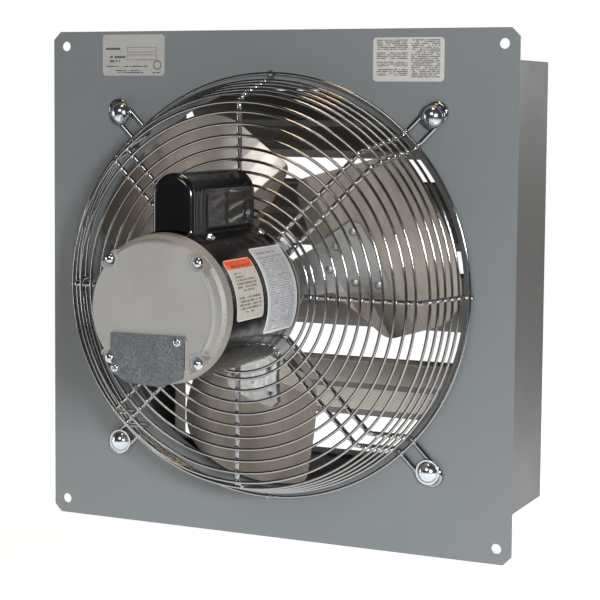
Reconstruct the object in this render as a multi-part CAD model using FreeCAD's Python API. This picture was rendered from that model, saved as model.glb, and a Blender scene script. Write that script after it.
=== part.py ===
"""Direct-drive exhaust fan with a square wall panel, duct box, wire guard and gravity shutter.

Millimetres. X runs to the right seen from the motor side, +Y is the way the air is blown,
and Z is up. The origin is on the fan axis, in the panel's back face, which lies on the wall.
"""
import FreeCAD
import Part
import math
import os

# ---------------------------------------------------------------- driving dimensions
PANEL = 527.0            # side of the square panel
PANEL_T = 1.5            # panel sheet
CORNER_CUT = 8.5         # chamfer on the panel's corners
HOLE_PITCH = 495.8       # wall screw spacing, both ways
HOLE_R = 5.15            # wall screw hole
BOX = 469.0              # outside of the duct box
BOX_DEPTH = 187.0
WALL_T = 1.5
WALL_FLANGE = 12.0       # width of the in-turned flanges of the box walls
THROAT_R = 208.0         # inside of the orifice
THROAT_BEND = 10.0       # radius of the rolled orifice edge, on its air side
THROAT_END = 20.0        # how far the orifice collar reaches into the box

FAN_R = 203.0            # propeller tip radius
TIP_LEADING = 0.243      # ends of the tip arc, in radians either side of the blade's centre line
TIP_TRAILING = 0.4
BLADE_ANGLES = (18.0, 138.0, 258.0)
BLADE_T = 1.3
SPIDER_T = 2.5
PROP_Y = 7.5             # plane of the spider's flat centre
PITCH_PER_TURN = 50.0    # helix rise over the radius, for the blade twist
STEEPEST = 0.56          # slope limit near the root

SHUTTER_W = 406.0
SHUTTER_H = 408.0
SHUTTER_T = 1.2
SHUTTER_DEPTH = 24.0
LOUVRE_COUNT = 4
LOUVRE_PITCH = 99.2
LOUVRE_TOP_PIVOT = 199.5
LOUVRE_REST = (38.0, 35.0, 40.0, 36.0)   # each louvre hangs free, so they stand unevenly
LOUVRE_T = 0.8
LOUVRE_HALF_LENGTH = 200.5
PIVOT_Y = 178.0
ROD_R = 2.0
RUNNING_GAP = 0.05

RADIAL_WIRE_R = 2.5
RING_WIRE_R = 1.5
WELD_SINK = 0.15         # how far a ring is pressed into a radial wire by its weld
GUARD_FACE_Y = -76.5     # centre of the radial wires across the guard's face
GUARD_CORNER_R = 191.5   # where the face and the side of the guard would meet
GUARD_FOOT_R = 212.2     # where the side would meet the panel
CORNER_BEND = 7.0
FOOT_BEND = 6.0
WIRE_REST_Y = -PANEL_T - RADIAL_WIRE_R
FIRST_RING_R = 78.7
SECOND_RING_R = 85.5
RING_STEP = 11.85
SPACED_RINGS = 8
CORNER_RING_R = 190.0
SIDE_RING_HEIGHTS = (-64.0, -51.4, -40.0, -29.0, -18.4)
OUTER_RING_R = 219.0
HAIRPIN_HALF_GAP = 9.25
GUARD_BOLT = 177.0       # guard bolt position from the axis, both ways
LOOP_OVERRUN = 5.0       # the loops' centres lie this far outside the bolts
RADIAL_START_R = 71.5
TAB_INSET = 0.3          # the tabs sit this far behind the front of the wires, clear of the rings
TAB_FRONT_Y = GUARD_FACE_Y - RADIAL_WIRE_R + TAB_INSET
TAB_T = 3.5

MOTOR_R = 70.0
SHELL_T = 1.8
SPIGOT_GAP = 0.3         # radial clearance of the bells' spigots in the shell
MOTOR_FRONT_Y = -225.5   # front end of the shell
MOTOR_REAR_Y = -85.0     # rear end of the shell
BELL_FACE_Y = -250.5
EDGE_RIDGE = 33.0        # half the angle covered by the ridge on the front bell's edge
REAR_FACE_Y = -81.5
BOLT_RECESS = 3.0        # depth of the through bolt recesses in the front bell
THROUGH_BOLT = 45.5      # through bolt position from the axis, both ways
BOLT_R = 2.4
BOLT_HOLE_R = 2.6
SHAFT_R = 6.35
JOURNAL_R = 7.5
BEARING_R = 17.5
BEARING_W = 11.0
FRONT_BEARING_Y = -240.0
REAR_BEARING_Y = -99.0
STACK_FRONT_Y = -185.0
STACK_REAR_Y = -120.0
ROTOR_R = 38.0
AIR_GAP = 0.4
LABEL_T = 0.3

CAP_HALF_W = 22.0        # the cover's top is a half circle of this radius
CAP_FRONT_Y = -213.5
CAP_REAR_Y = -83.0
CAP_TOP_Z = 124.0
CAP_ROUND = 6.0          # rounding of the front and rear edges
CAP_T = 1.2
CAP_PANEL = 1.5          # depth of the pressed panel in each side
CAP_PANEL_Y = (-188.0, -89.0)
CAP_PANEL_Z = (69.5, 105.5)
SADDLE_HALF_W = 36.0
SADDLE_SCREWS = ((65.6, -193.9), (63.0, -93.6), (114.4, -193.9), (117.0, -93.6))
CAPACITOR_R = 18.0

FRONT = FreeCAD.Vector(0, -1, 0)   # towards the motor side; turning about it is anticlockwise there
ORIGIN = FreeCAD.Vector(0, 0, 0)
DIAGONALS = (45.0, 135.0, 225.0, 315.0)


# ---------------------------------------------------------------- helpers
def vec(x, y, z):
    return FreeCAD.Vector(x, y, z)


def save(name, *solids):
    """Write one node, made of one or more solids."""
    os.makedirs("parts", exist_ok=True)
    shape = solids[0] if len(solids) == 1 else Part.Compound(list(solids))
    shape.exportStep("parts/" + name + ".step")


def block(x0, x1, y0, y1, z0, z1):
    return Part.makeBox(x1 - x0, y1 - y0, z1 - z0, vec(x0, y0, z0))


def rod_y(radius, y0, y1, x=0.0, z=0.0):
    return Part.makeCylinder(radius, y1 - y0, vec(x, y0, z), vec(0, 1, 0))


def ring_y(outer, inner, y0, y1, x=0.0, z=0.0):
    return rod_y(outer, y0, y1, x, z).cut(rod_y(inner, y0 - 1, y1 + 1, x, z))


def rod_x(radius, x0, x1, y, z):
    return Part.makeCylinder(radius, x1 - x0, vec(x0, y, z), vec(1, 0, 0))


def plate_section(profile):
    """Flat face through the fan axis from (radius, y) points."""
    points = [vec(r, y, 0) for r, y in profile]
    return Part.Face(Part.makePolygon(points + points[:1]))


def turned(profile):
    """Solid of revolution about the fan axis from (radius, y) points."""
    return plate_section(profile).revolve(ORIGIN, vec(0, 1, 0), 360)


def around(shape, angle):
    """Copy turned about the fan axis, anticlockwise seen from the motor side."""
    copy = shape.copy()
    copy.rotate(ORIGIN, FRONT, angle)
    return copy


def line(a, b):
    return Part.LineSegment(a, b).toShape()


def arc(a, middle, b):
    return Part.Arc(a, middle, b).toShape()


def plate_xz(points, y0, y1):
    """Flat plate parallel to the panel from (x, z) corners."""
    corners = [vec(x, y0, z) for x, z in points]
    return Part.Face(Part.makePolygon(corners + corners[:1])).extrude(vec(0, y1 - y0, 0))


def plate_x(points, x0, x1):
    """Bar along X from its (y, z) section."""
    corners = [vec(x0, y, z) for y, z in points]
    return Part.Face(Part.makePolygon(corners + corners[:1])).extrude(vec(x1 - x0, 0, 0))


def corners_of(distance):
    """The four (x, z) places at the same distance from both centre lines."""
    return [(sx * distance, sz * distance) for sx in (1, -1) for sz in (1, -1)]


def piped(edges, radius):
    """Round wire along a path of straight runs and tangent arcs."""
    path = Part.Wire(edges)
    start = edges[0].valueAt(edges[0].FirstParameter)
    heading = edges[0].tangentAt(edges[0].FirstParameter)
    section = Part.Wire(Part.makeCircle(radius, start, heading))
    return path.makePipeShell([section], True, False)


def dome(radius, height, base, direction):
    """Spherical cap standing on a flat base."""
    sphere_r = (radius ** 2 + height ** 2) / (2 * height)
    centre = base - direction * (sphere_r - height)
    ball = Part.makeSphere(sphere_r, centre)
    keep = Part.makeCylinder(radius * 1.5, height * 2, base, direction)
    return ball.common(keep)


def hex_nut(x, z, y0, y1, across, hole):
    flat = across / math.sqrt(3)
    points = [(x + flat * math.cos(math.radians(60 * k)), z + flat * math.sin(math.radians(60 * k)))
              for k in range(6)]
    return plate_xz(points, y0, y1).cut(rod_y(hole, y0 - 1, y1 + 1, x, z))


# ---------------------------------------------------------------- housing
def housing_panel():
    h = PANEL / 2
    c = CORNER_CUT
    outline = [(h - c, h), (h, h - c), (h, c - h), (h - c, -h),
               (c - h, -h), (-h, c - h), (-h, h - c), (c - h, h)]
    panel = plate_xz(outline, -PANEL_T, 0)
    roll_r = THROAT_R + THROAT_BEND
    panel = panel.cut(rod_y(roll_r, -PANEL_T - 1, 1))
    for x, z in corners_of(HOLE_PITCH / 2):
        panel = panel.cut(rod_y(HOLE_R, -PANEL_T - 1, 1, x, z))
    for x, z in corners_of(GUARD_BOLT):
        panel = panel.cut(rod_y(4.2, -PANEL_T - 1, 1, x, z))
    return panel.fuse(throat_collar(roll_r)).removeSplitter()


def throat_collar(roll_r):
    """Rolled edge and short collar that guide the air past the blade tips."""
    centre_y = THROAT_BEND - PANEL_T
    inner_bend = THROAT_BEND - PANEL_T
    c45 = math.cos(math.radians(45))
    front = arc(vec(roll_r, -PANEL_T, 0),
                vec(roll_r - THROAT_BEND * c45, centre_y - THROAT_BEND * c45, 0),
                vec(THROAT_R, centre_y, 0))
    back = arc(vec(THROAT_R + PANEL_T, centre_y, 0),
               vec(roll_r - inner_bend * c45, centre_y - inner_bend * c45, 0),
               vec(roll_r, 0, 0))
    edges = [front,
             line(vec(THROAT_R, centre_y, 0), vec(THROAT_R, THROAT_END, 0)),
             line(vec(THROAT_R, THROAT_END, 0), vec(THROAT_R + PANEL_T, THROAT_END, 0)),
             line(vec(THROAT_R + PANEL_T, THROAT_END, 0), vec(THROAT_R + PANEL_T, centre_y, 0)),
             back,
             line(vec(roll_r, 0, 0), vec(roll_r, -PANEL_T, 0))]
    return Part.Face(Part.Wire(edges)).revolve(ORIGIN, vec(0, 1, 0), 360)


def housing_wall(length, flange_length):
    """Top wall: a plate with a flange turned in at the panel and one at the shutter."""
    outer = BOX / 2
    inner = outer - WALL_T
    wall = block(-length / 2, length / 2, 0, BOX_DEPTH, inner, outer)
    half = flange_length / 2
    low = inner - WALL_FLANGE
    front = block(-half, half, 0, WALL_T, low, inner)
    rear = block(-half, half, BOX_DEPTH - WALL_T, BOX_DEPTH, low, inner)
    return wall.fuse([front, rear]).removeSplitter()


def build_housing():
    save("housing_panel", housing_panel())
    inner = BOX - 2 * WALL_T
    long_wall = housing_wall(BOX, inner)
    short_wall = housing_wall(inner, inner - 2 * WALL_FLANGE)
    holes = [rod_y(1.7, BOX_DEPTH - 3, BOX_DEPTH + 1, x, z) for x, z in shutter_screw_places()]
    for name, wall, angle in (("housing_top", long_wall, 0), ("housing_left", short_wall, 90),
                              ("housing_bottom", long_wall, 180), ("housing_right", short_wall, 270)):
        save(name, around(wall, angle).cut(holes))


# ---------------------------------------------------------------- shutter
def shutter_screw_places():
    edge = BOX / 2 - WALL_T - WALL_FLANGE / 2
    spread = 150.0
    places = []
    for side in (-1, 1):
        for along in (-spread, spread):
            places += [(side * edge, along), (along, side * edge)]
    return places


def louvre_pivots():
    return [LOUVRE_TOP_PIVOT - LOUVRE_PITCH * k for k in range(LOUVRE_COUNT)]


def shutter_frame():
    half_w = SHUTTER_W / 2
    half_h = SHUTTER_H / 2
    outer_w = half_w + SHUTTER_T
    outer_h = half_h + SHUTTER_T
    sleeve_y = BOX_DEPTH - SHUTTER_DEPTH
    frame = block(-BOX / 2, BOX / 2, BOX_DEPTH, BOX_DEPTH + SHUTTER_T, -BOX / 2, BOX / 2)
    frame = frame.fuse(block(-outer_w, outer_w, sleeve_y, BOX_DEPTH, -outer_h, outer_h))
    frame = frame.cut(block(-half_w, half_w, sleeve_y - 1, BOX_DEPTH + 5, -half_h, half_h))
    for z in louvre_pivots():
        frame = frame.cut(rod_x(3.5, -outer_w - 1, outer_w + 1, PIVOT_Y, z))
    for x, z in shutter_screw_places():
        frame = frame.cut(rod_y(1.7, BOX_DEPTH - 1, BOX_DEPTH + 5, x, z))
    return frame


def louvre_sheet(pivot_z):
    """Closed louvre: bead round its rod, a stiffening step half way down, and a kicked-out hem."""
    path = [(3.0, 2.0), (3.0, -40.0), (6.5, -52.0), (6.5, -87.0), (11.0, -102.0)]
    outer = [(PIVOT_Y + v, pivot_z + w) for v, w in path]
    inner = [(y - LOUVRE_T, z) for y, z in reversed(outer)]
    sheet = plate_x(outer + inner, -LOUVRE_HALF_LENGTH, LOUVRE_HALF_LENGTH)
    bead = rod_x(3.0, -LOUVRE_HALF_LENGTH, LOUVRE_HALF_LENGTH, PIVOT_Y, pivot_z)
    bore = rod_x(ROD_R, -LOUVRE_HALF_LENGTH - 1, LOUVRE_HALF_LENGTH + 1, PIVOT_Y, pivot_z)
    return sheet.fuse(bead).cut(bore).removeSplitter()


def bushing(side, z):
    """Nylon bush pressed into the frame, with its flange between frame and louvre."""
    half = SHUTTER_W / 2
    x_in = half - 1.0
    x_out = half + SHUTTER_T + 1.5
    lo, hi = sorted((side * x_in, side * x_out))
    barrel = rod_x(3.5, lo, hi, PIVOT_Y, z)
    lo_f, hi_f = sorted((side * x_in, side * half))
    flange = rod_x(4.2, lo_f, hi_f, PIVOT_Y, z)
    bore = rod_x(ROD_R + RUNNING_GAP, lo - 1, hi + 1, PIVOT_Y, z)
    return barrel.fuse(flange).cut(bore)


def shutter_screw(x, z):
    head_y = BOX_DEPTH + SHUTTER_T
    head = dome(3.6, 2.2, vec(x, head_y, z), vec(0, 1, 0))
    return head.fuse(rod_y(1.7, BOX_DEPTH - 6, head_y, x, z))


def build_shutter():
    save("shutter_frame", shutter_frame())
    bushings = []
    for number, (z, rest) in enumerate(zip(louvre_pivots(), LOUVRE_REST), start=1):
        louvre = louvre_sheet(z)
        louvre.rotate(vec(0, PIVOT_Y, z), vec(1, 0, 0), rest)
        save("shutter_blade_%d" % number, louvre)
        reach = SHUTTER_W / 2 + SHUTTER_T + 1.0
        save("shutter_rod_%d" % number, rod_x(ROD_R, -reach, reach, PIVOT_Y, z))
        bushings += [bushing(-1, z), bushing(1, z)]
    save("shutter_bushings", *bushings)
    save("shutter_screws", *[shutter_screw(x, z) for x, z in shutter_screw_places()])


# ---------------------------------------------------------------- guard
def side_slope():
    """Radius gained per millimetre along the guard's side."""
    return (GUARD_FOOT_R - GUARD_CORNER_R) / (WIRE_REST_Y - GUARD_FACE_Y)


def bend(corner, before, after, radius):
    """Tangent arc at a corner of a planar path, as (start, middle, end)."""
    u = (before - corner).normalize()
    w = (after - corner).normalize()
    half = math.acos(max(-1.0, min(1.0, u.dot(w)))) / 2
    reach = radius / math.tan(half)
    bisector = (u + w).normalize()
    centre = corner + bisector * (radius / math.sin(half))
    return corner + u * reach, centre - bisector * radius, corner + w * reach


def guard_leg(start_r, end_r, sideways):
    """Edges of one radial wire: across the face, down the side and out along the panel."""
    start = vec(start_r, GUARD_FACE_Y, sideways)
    corner = vec(GUARD_CORNER_R, GUARD_FACE_Y, sideways)
    foot = vec(GUARD_FOOT_R, WIRE_REST_Y, sideways)
    end = vec(end_r, WIRE_REST_Y, sideways)
    a1, a2, a3 = bend(corner, start, foot, CORNER_BEND)
    b1, b2, b3 = bend(foot, corner, end, FOOT_BEND)
    return [line(start, a1), arc(a1, a2, a3), line(a3, b1), arc(b1, b2, b3), line(b3, end)]


def guard_arm():
    """Hairpin arm: two legs joined by a loop round the guard bolt, lying along +X."""
    loop_r = GUARD_BOLT * math.sqrt(2) + LOOP_OVERRUN
    inner_r = 63.0
    legs = [piped(guard_leg(inner_r, loop_r, s * HAIRPIN_HALF_GAP), RADIAL_WIRE_R) for s in (-1, 1)]
    centre = vec(loop_r, WIRE_REST_Y, 0)
    loop = arc(centre + vec(0, 0, -HAIRPIN_HALF_GAP), centre + vec(HAIRPIN_HALF_GAP, 0, 0),
               centre + vec(0, 0, HAIRPIN_HALF_GAP))
    return legs[0].fuse([piped([loop], RADIAL_WIRE_R), legs[1]]).removeSplitter()


def ring_offset():
    return RADIAL_WIRE_R + RING_WIRE_R - WELD_SINK


def ring(radius, y):
    return Part.makeTorus(radius, RING_WIRE_R, vec(0, y, 0), vec(0, 1, 0))


def height_on_bend(radius):
    """Height of a ring that rests on the bend between the guard's face and side."""
    half_angle = math.pi / 4 + math.atan(side_slope()) / 2
    bend_start = GUARD_CORNER_R - CORNER_BEND / math.tan(half_angle)
    reach = CORNER_BEND + ring_offset()
    return GUARD_FACE_Y + CORNER_BEND - math.sqrt(reach ** 2 - (radius - bend_start) ** 2)


def front_rings():
    radii = [FIRST_RING_R, SECOND_RING_R]
    radii += [SECOND_RING_R + RING_STEP * (k + 1) for k in range(SPACED_RINGS)]
    rings = [ring(r, GUARD_FACE_Y - ring_offset()) for r in radii]
    return rings + [ring(CORNER_RING_R, height_on_bend(CORNER_RING_R))]


def side_rings():
    """Rings down the side, each resting on the outside of the radial wires, and the foot ring."""
    gap = ring_offset()
    slope = side_slope()
    lean = math.atan(slope)
    rings = []
    for height in SIDE_RING_HEIGHTS:
        wire_r = GUARD_CORNER_R + slope * (height - GUARD_FACE_Y)
        rings.append(ring(wire_r + gap * math.cos(lean), height - gap * math.sin(lean)))
    return rings + [ring(OUTER_RING_R, WIRE_REST_Y - gap)]


def motor_tab():
    """Zinc plate welded between the two wires of an arm; it takes one of the motor's studs."""
    stud_r = THROUGH_BOLT * math.sqrt(2)
    half = HAIRPIN_HALF_GAP - RADIAL_WIRE_R + WELD_SINK
    plate = block(56.0, 84.0, TAB_FRONT_Y, TAB_FRONT_Y + TAB_T, -half, half)
    return plate.cut(rod_y(BOLT_HOLE_R, TAB_FRONT_Y - 1, TAB_FRONT_Y + TAB_T + 1, stud_r, 0))


def guard_bolt(x, z):
    """Dome-headed bolt through the guard's loop and the panel."""
    under_head = WIRE_REST_Y - RADIAL_WIRE_R - 1.5
    head = dome(11.0, 7.0, vec(x, under_head, z), FRONT)
    return head.fuse(rod_y(4.0, under_head, 9.0, x, z))


def build_guard():
    save("guard_front_rings", *front_rings())
    save("guard_side_rings", *side_rings())
    radial = piped(guard_leg(RADIAL_START_R, OUTER_RING_R + 2.0, 0), RADIAL_WIRE_R)
    save("guard_radials", *[around(radial, a) for a in (0, 90, 180, 270)])
    arm = guard_arm()
    save("guard_arms", *[around(arm, a) for a in DIAGONALS])
    tab = motor_tab()
    save("guard_motor_tabs", *[around(tab, a) for a in DIAGONALS])
    places = corners_of(GUARD_BOLT)
    save("guard_mount_bolts", *[guard_bolt(x, z) for x, z in places])
    washer_y = WIRE_REST_Y - RADIAL_WIRE_R
    save("guard_washers", *[ring_y(12.5, 4.3, washer_y - 1.5, washer_y, x, z) for x, z in places])
    save("guard_nuts", *[hex_nut(x, z, 0.0, 6.0, 13.0, 4.0) for x, z in places])


# ---------------------------------------------------------------- motor
def motor_shell():
    shell = ring_y(MOTOR_R, MOTOR_R - SHELL_T, MOTOR_FRONT_Y, MOTOR_REAR_Y)
    return shell.cut(capacitor_screw_holes())


def motor_front_bell():
    """Cast end bell with stepped rim, recessed bolt bosses, bearing seat and wiring pocket."""
    face = BELL_FACE_Y
    spigot_r = MOTOR_R - SHELL_T - SPIGOT_GAP
    seat_r = BEARING_R + 4.0
    outside = [(0, face), (62.0, face), (63.8, face + 1.8), (65.3, face + 12.0),
               (69.0, face + 14.5), (MOTOR_R, MOTOR_FRONT_Y), (spigot_r, MOTOR_FRONT_Y),
               (spigot_r, MOTOR_FRONT_Y + 6.0), (0, MOTOR_FRONT_Y + 6.0)]
    hollow = [(seat_r, face + 4.0), (59.5, face + 4.0), (61.0, face + 12.0),
              (64.5, MOTOR_FRONT_Y), (64.5, MOTOR_FRONT_Y + 7.0), (seat_r, MOTOR_FRONT_Y + 7.0)]
    bell = turned(outside).cut(turned(hollow))
    bell = bell.cut([rod_y(10.0, FRONT_BEARING_Y - 3.0, 0), rod_y(BEARING_R, FRONT_BEARING_Y, 0),
                     rod_y(seat_r, FRONT_BEARING_Y + BEARING_W + 2.0, 0)])
    rim = rod_y(68.0, face, MOTOR_FRONT_Y)
    bosses = [rod_y(9.5, face, MOTOR_FRONT_Y, x, z) for x, z in corners_of(THROUGH_BOLT)]
    bosses += [rod_y(4.0, face, face + 9.0, x, z) for x, z in cover_screw_places()]
    bell = bell.cut(plate_xz(wiring_pocket(), face - 1, face + 10.0))
    bell = bell.cut(block(-52.0, -28.0, face - 1, face + 9.0, -70.0, -56.0))
    bell = bell.fuse([boss.common(rim) for boss in bosses] + bell_ridges())
    for x, z in corners_of(THROUGH_BOLT):
        bell = bell.cut([rod_y(7.3, face - 2, face + BOLT_RECESS, x, z),
                         rod_y(BOLT_HOLE_R, face - 1, 0, x, z)])
    return bell.cut([rod_y(1.8, face - 1, face + 8.0, x, z) for x, z in cover_screw_places()])


def bell_ridges():
    """Low cast ridges: round the bolt recesses, beside the wiring cover and on the face's edge."""
    face = BELL_FACE_Y
    inside = rod_y(65.0, face - 3, face + 4)
    ridges = [ring_y(9.3, 7.3, face - 0.8, face + 3.5, x, z).common(inside)
              for x, z in corners_of(THROUGH_BOLT) if x > 0 or z > 0]
    ridges.append(block(35.4, 37.0, face - 2.2, face + 3.0, -50.0, -24.0))
    section = plate_section([(61.0, face + 2.0), (61.0, face - 0.9), (62.4, face - 0.9), (63.6, face + 2.0)])
    ridges.append(around(section.revolve(ORIGIN, FRONT, 2 * EDGE_RIDGE), -EDGE_RIDGE))
    lug = block(60.5, 66.0, face - 0.9, face + 6.0, -1.2, 1.2)
    return ridges + [around(lug, side * EDGE_RIDGE) for side in (-1, 1)]


def wiring_pocket():
    return [(-30.0, -28.0), (18.0, -28.0), (26.0, -36.0), (26.0, -50.0), (8.0, -56.0), (-20.0, -56.0),
            (-30.0, -48.0)]


def cover_screw_places():
    return [(27.5, -26.5), (-37.5, -54.0)]


def wiring_cover():
    """Galvanised plate over the wiring pocket, following the bell's lower edge."""
    outline = [(-41.5, -21.5), (35.0, -21.0), (33.5, -59.5), (10.0, -68.5), (-26.0, -66.5),
               (-41.0, -58.0), (-43.0, -52.0)]
    plate = plate_xz(outline, BELL_FACE_Y - 2.0, BELL_FACE_Y)
    for x, z in corners_of(THROUGH_BOLT):
        plate = plate.cut(rod_y(7.3, BELL_FACE_Y - 3, BELL_FACE_Y + 1, x, z))
    for x, z in cover_screw_places():
        plate = plate.cut(rod_y(1.8, BELL_FACE_Y - 3, BELL_FACE_Y + 1, x, z))
    return plate


def motor_rear_bell():
    """Rear end bell with its rim, web and bearing boss round the shaft."""
    web_front = REAR_FACE_Y - 4.0
    seat_end = REAR_BEARING_Y + BEARING_W
    spigot_r = MOTOR_R - SHELL_T - SPIGOT_GAP
    profile = [(SHAFT_R + 1.2, seat_end), (BEARING_R, seat_end), (BEARING_R, REAR_BEARING_Y - 1.0),
               (BEARING_R + 4.0, REAR_BEARING_Y - 1.0), (BEARING_R + 4.0, web_front),
               (64.0, web_front), (64.0, MOTOR_REAR_Y - 6.0), (spigot_r, MOTOR_REAR_Y - 6.0),
               (spigot_r, MOTOR_REAR_Y), (MOTOR_R, MOTOR_REAR_Y), (MOTOR_R, REAR_FACE_Y),
               (BEARING_R + 2.0, REAR_FACE_Y), (BEARING_R - 2.0, seat_end + 12.0),
               (SHAFT_R + 1.2, seat_end + 12.0)]
    bell = turned(profile)
    bell = bell.fuse([rod_y(7.0, MOTOR_REAR_Y, TAB_FRONT_Y, x, z) for x, z in corners_of(THROUGH_BOLT)])
    for x, z in corners_of(THROUGH_BOLT):
        bell = bell.cut(rod_y(BOLT_HOLE_R, web_front - 10, 0, x, z))
    return bell.common(rod_y(MOTOR_R, MOTOR_REAR_Y - 20.0, 0)).removeSplitter()


def stator_core():
    core = ring_y(MOTOR_R - SHELL_T, ROTOR_R + AIR_GAP, STACK_FRONT_Y, STACK_REAR_Y)
    slots = []
    for k in range(24):
        slot = block(ROTOR_R - 1, 52.0, STACK_FRONT_Y - 1, STACK_REAR_Y + 1, -2.6, 2.6)
        slots.append(around(slot, 15 * k + 7.5))
    for x, z in corners_of(THROUGH_BOLT):
        slots.append(rod_y(BOLT_HOLE_R, STACK_FRONT_Y - 1, STACK_REAR_Y + 1, x, z))
    return core.cut(slots)


def winding_head(y0, y1):
    """Laced end turns of the windings, a rounded copper ring."""
    mid = (y0 + y1) / 2
    return turned([(42.0, y0), (44.5, y0), (58.0, mid - 5.0), (58.0, mid + 5.0), (44.5, y1), (42.0, y1)])


def through_bolt(x, z):
    """Long bolt that ties the motor together; its rear end is the stud that the guard holds."""
    seat = BELL_FACE_Y + BOLT_RECESS
    head = dome(5.4, 3.8, vec(x, seat, z), FRONT)
    return head.fuse(rod_y(BOLT_R, seat, REAR_FACE_Y + 17.0, x, z))


def bearing_outer(y0):
    return ring_y(BEARING_R, 14.2, y0, y0 + BEARING_W)


def bearing_inner(y0):
    return ring_y(10.2, JOURNAL_R, y0, y0 + BEARING_W)


def bearing_balls(y0):
    balls = []
    for k in range(8):
        ball = Part.makeSphere(1.9, vec(12.2, y0 + BEARING_W / 2, 0))
        balls.append(around(ball, 45 * k))
    return balls


def motor_shaft():
    front = FRONT_BEARING_Y - 2.0
    steps = [(0, front), (JOURNAL_R, front), (JOURNAL_R, FRONT_BEARING_Y + BEARING_W),
             (8.5, FRONT_BEARING_Y + BEARING_W), (8.5, REAR_BEARING_Y), (JOURNAL_R, REAR_BEARING_Y),
             (JOURNAL_R, REAR_BEARING_Y + BEARING_W), (SHAFT_R, REAR_BEARING_Y + BEARING_W),
             (SHAFT_R, 25.0), (SHAFT_R - 1.0, 26.0), (0, 26.0)]
    return turned(steps).cut(block(-8, 8, -18.0, 27.0, SHAFT_R - 0.8, 8))


def rotor_core():
    end_ring = 7.0
    core = ring_y(ROTOR_R, 8.5, STACK_FRONT_Y, STACK_REAR_Y)
    front = ring_y(ROTOR_R - 1.5, 22.0, STACK_FRONT_Y - end_ring, STACK_FRONT_Y)
    rear = ring_y(ROTOR_R - 1.5, 22.0, STACK_REAR_Y, STACK_REAR_Y + end_ring)
    return core.fuse([front, rear])


def terminal_board():
    board = block(-22.0, 16.0, BELL_FACE_Y + 11.0, BELL_FACE_Y + 13.0, -52.0, -32.0)
    studs = [rod_y(1.8, BELL_FACE_Y + 5.0, BELL_FACE_Y + 13.0, x, -42.0) for x in (-16, -6, 4, 12)]
    return board.fuse(studs).removeSplitter()


def cover_body(inset):
    """Solid block of the capacitor cover: upright sides, half-round top, a panel in each side."""
    half = CAP_HALF_W - inset
    spring_z = CAP_TOP_Z - CAP_HALF_W
    y0 = CAP_FRONT_Y + inset
    y1 = CAP_REAR_Y - inset
    low = 55.0
    edges = [line(vec(-half, y0, low), vec(-half, y0, spring_z)),
             arc(vec(-half, y0, spring_z), vec(0, y0, spring_z + half), vec(half, y0, spring_z)),
             line(vec(half, y0, spring_z), vec(half, y0, low)),
             line(vec(half, y0, low), vec(-half, y0, low))]
    body = Part.Face(Part.Wire(edges)).extrude(vec(0, y1 - y0, 0))
    ends = [e for e in body.Edges if e.BoundBox.YLength < 0.01 and e.CenterOfMass.z > low + 1]
    body = body.makeFillet(CAP_ROUND - inset, ends)
    deep = CAP_HALF_W - CAP_PANEL - inset
    (py0, py1), (pz0, pz1) = CAP_PANEL_Y, CAP_PANEL_Z
    for x0, x1 in ((deep, CAP_HALF_W + 1), (-CAP_HALF_W - 1, -deep)):
        body = body.cut(block(x0, x1, py0 - inset, py1 + inset, pz0 - inset, pz1 + inset))
    return body


def capacitor_screw_holes():
    holes = []
    for angle, y in SADDLE_SCREWS:
        hole = Part.makeCylinder(1.6, 20, vec(MOTOR_R - 10, y, 0), vec(1, 0, 0))
        holes.append(around(hole, angle))
    return holes


def capacitor_cover():
    """Pressed steel cover with a saddle flange that is screwed to the shell."""
    inner = cover_body(CAP_T)
    saddle = ring_y(MOTOR_R + CAP_T, MOTOR_R, CAP_FRONT_Y, CAP_REAR_Y)
    saddle = saddle.common(block(-SADDLE_HALF_W, SADDLE_HALF_W, CAP_FRONT_Y, CAP_REAR_Y, 40, 90))
    saddle = saddle.cut(inner)
    cover = cover_body(0).cut(inner).cut(rod_y(MOTOR_R, CAP_FRONT_Y - 1, CAP_REAR_Y + 1))
    return cover.fuse(saddle).cut(capacitor_screw_holes()).removeSplitter()


def capacitor_screw(angle, y):
    seat = MOTOR_R + CAP_T
    head = dome(4.2, 2.6, vec(seat, y, 0), vec(1, 0, 0))
    screw = head.fuse(Part.makeCylinder(1.6, 9, vec(seat - 9, y, 0), vec(1, 0, 0)))
    return around(screw, angle)


def shell_label(y0, y1, top_angle, bottom_angle):
    """Printed label bent round the shell between two angles."""
    x0, x1 = MOTOR_R, MOTOR_R + LABEL_T
    corners = [vec(x0, y0, 0), vec(x1, y0, 0), vec(x1, y1, 0), vec(x0, y1, 0), vec(x0, y0, 0)]
    strip = Part.Face(Part.makePolygon(corners))
    return around(strip.revolve(ORIGIN, FRONT, top_angle - bottom_angle), bottom_angle)


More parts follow.
